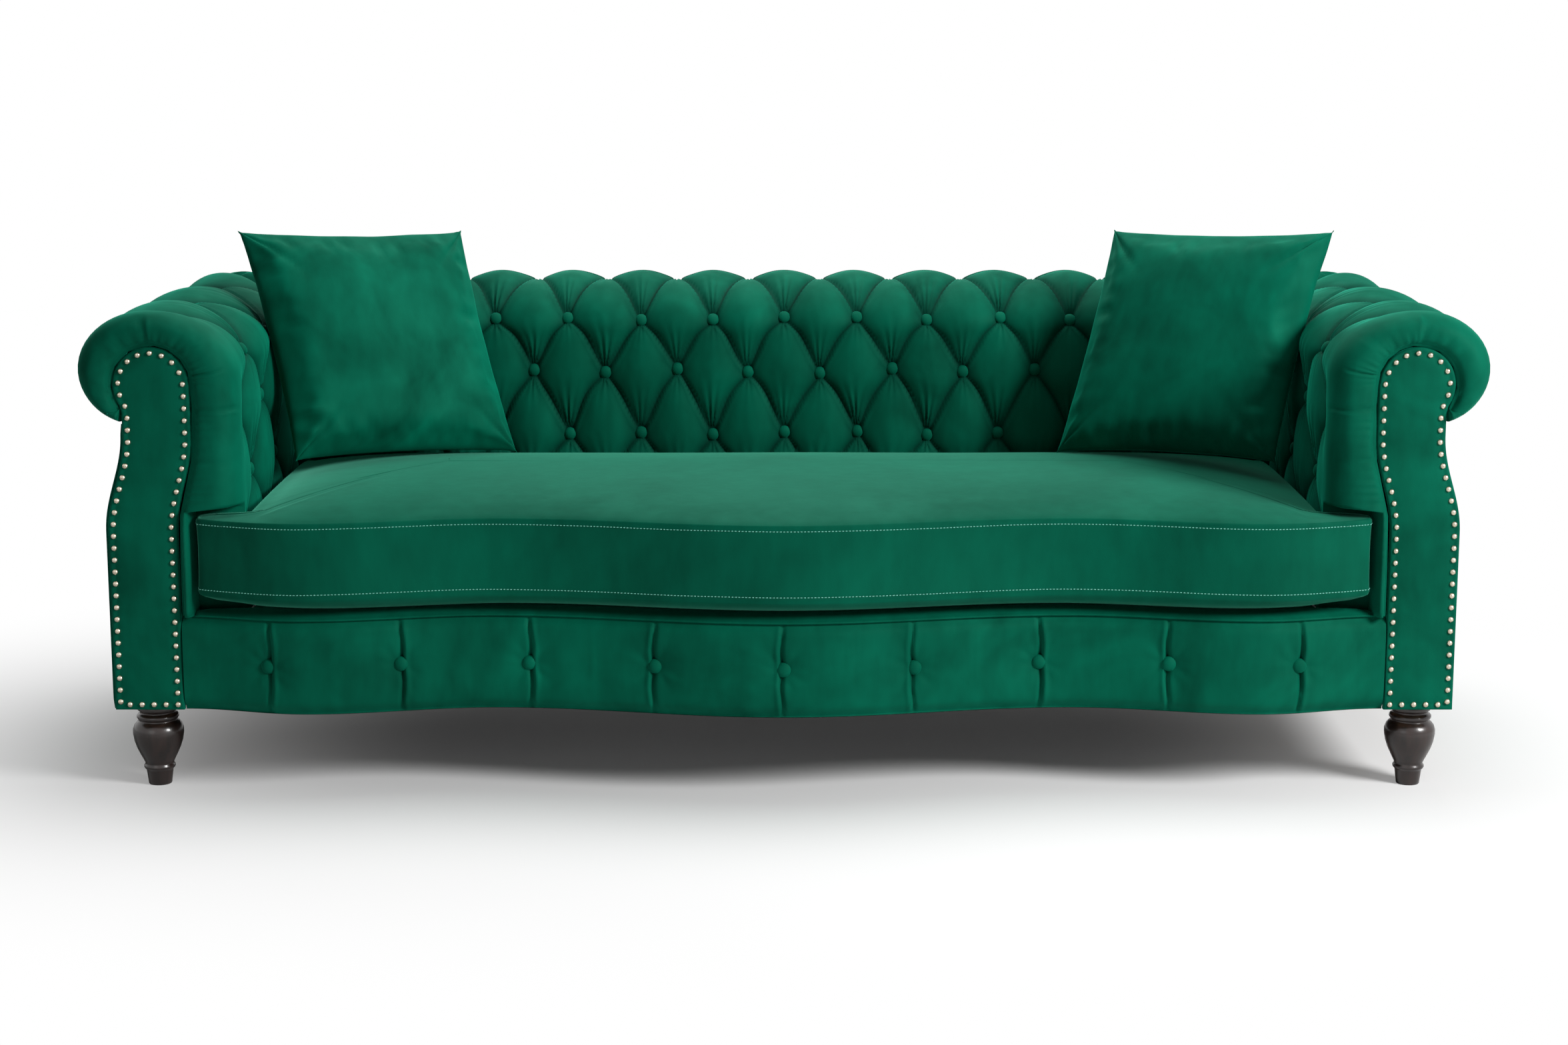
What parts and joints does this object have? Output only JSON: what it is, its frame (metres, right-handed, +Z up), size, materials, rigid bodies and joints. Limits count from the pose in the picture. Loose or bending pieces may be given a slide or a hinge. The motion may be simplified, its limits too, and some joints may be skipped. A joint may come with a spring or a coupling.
{
  "type": "three-seat chesterfield sofa",
  "caption": "Velvet chesterfield with deep-buttoned rolled arms and back, serpentine front rail, loose bench cushion and two scatter cushions.",
  "frame": {"origin": "on the floor, under the middle of the whole sofa's box", "axes": "+X along the sofa towards the arm on the right as seen from in front, -Y towards the sitter's feet, +Z up"},
  "size_m": [2.2954, 0.9437, 0.8987],
  "materials": {
    "velvet": "emerald cut velvet",
    "buttons": "velvet-covered buttons",
    "board": "thin plywood and board",
    "hardwood": "planed beech",
    "webbing": "jute webbing",
    "deck_cloth": "velvet strip and lining cloth",
    "felt": "needled felt",
    "dust_cloth": "black spunbond",
    "foam": "upholstery foam",
    "filling": "fibre filling in a white case",
    "nails": "satin nickel domes",
    "foot_wood": "dark espresso lacquer",
    "bolt_steel": "zinc-plated"
  },
  "bodies": {
    "frame": {"back_buttons": "buttons", "back_outside_panel": "velvet", "back_roll_skin": "board", "back_seat_rail": "hardwood", "back_tack_rail": "hardwood", "back_top_rail": "hardwood", "back_tufted_pad": "velvet", "back_under_roll_rail": "hardwood", "back_uprights": "hardwood", "back_webbing": "webbing", "deck_cloth": "deck_cloth", "deck_felt": "felt", "dust_cover": "dust_cloth", "foot_blocks": "hardwood", "foot_bolts": "bolt_steel", "front_feet": "foot_wood", "front_rail_buttons": "buttons", "front_rail_pad": "velvet", "front_seat_rail": "hardwood", "left_arm_buttons": "buttons", "left_arm_roll_skin": "board", "left_arm_tack_rail": "hardwood", "left_arm_top_rail": "hardwood", "left_arm_tufted_pad": "velvet", "left_arm_under_roll_rail": "hardwood", "left_arm_webbing": "webbing", "left_facing_panel": "velvet", "left_front_post": "hardwood", "left_nail_trim": "nails", "left_outside_arm_panel": "velvet", "left_rear_post": "hardwood", "left_scroll_board": "board", "left_side_seat_rail": "hardwood", "rear_feet": "foot_wood", "right_arm_buttons": "buttons", "right_arm_roll_skin": "board", "right_arm_tack_rail": "hardwood", "right_arm_top_rail": "hardwood", "right_arm_tufted_pad": "velvet", "right_arm_under_roll_rail": "hardwood", "right_arm_webbing": "webbing", "right_facing_panel": "velvet", "right_front_post": "hardwood", "right_nail_trim": "nails", "right_outside_arm_panel": "velvet", "right_rear_post": "hardwood", "right_scroll_board": "board", "right_side_seat_rail": "hardwood", "seat_cross_bearers": "hardwood", "seat_webbing": "webbing"},
    "seat_cushion": {"seat_cushion_cover": "velvet", "seat_cushion_core": "foam"},
    "left_scatter": {"left_scatter_cover": "velvet", "left_scatter_filling": "filling"},
    "right_scatter": {"right_scatter_cover": "velvet", "right_scatter_filling": "filling"}
  },
  "joints": [
    {"name": "seat_cushion_slide", "type": "slide", "parent": "frame", "child": "seat_cushion", "axis": [0, -0.9903, 0.1392], "range_m": [0, 0.6]},
    {"name": "left_scatter_lift", "type": "slide", "parent": "seat_cushion", "child": "left_scatter", "axis": [0, 0, 1], "range_m": [0, 0.35]},
    {"name": "right_scatter_lift", "type": "slide", "parent": "seat_cushion", "child": "right_scatter", "axis": [0, 0, 1], "range_m": [0, 0.35]}
  ]
}
